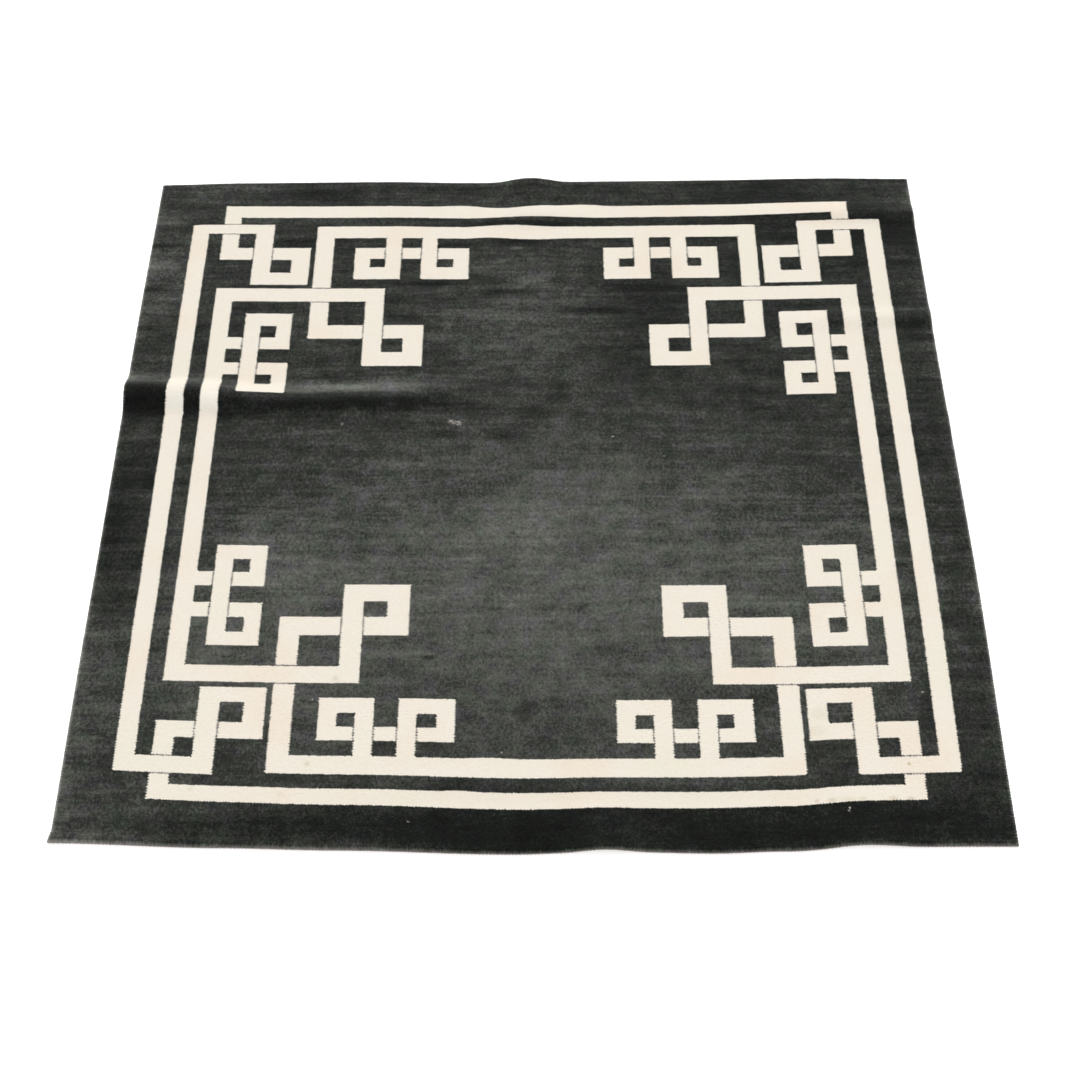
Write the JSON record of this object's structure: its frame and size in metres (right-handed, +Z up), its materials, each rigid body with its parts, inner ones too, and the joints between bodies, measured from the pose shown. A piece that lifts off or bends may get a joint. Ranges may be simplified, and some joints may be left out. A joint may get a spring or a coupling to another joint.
{
  "type": "square rug",
  "caption": "Square pile rug, charcoal with a cream interlaced fret border, lying flat with a few low creases.",
  "frame": {"origin": "on the floor, under the middle of the rug's box", "axes": "+Z up out of the pile, +Y towards the rug's far edge, +X to its right side, both along its woven edges"},
  "size_m": [1.842, 1.8654, 0.0315],
  "materials": {
    "pile": "dense short cut pile, matt charcoal with a cream fret in the same pile, soft sheen along the nap"
  },
  "bodies": {
    "root": {"rug": "pile"}
  },
  "joints": []
}
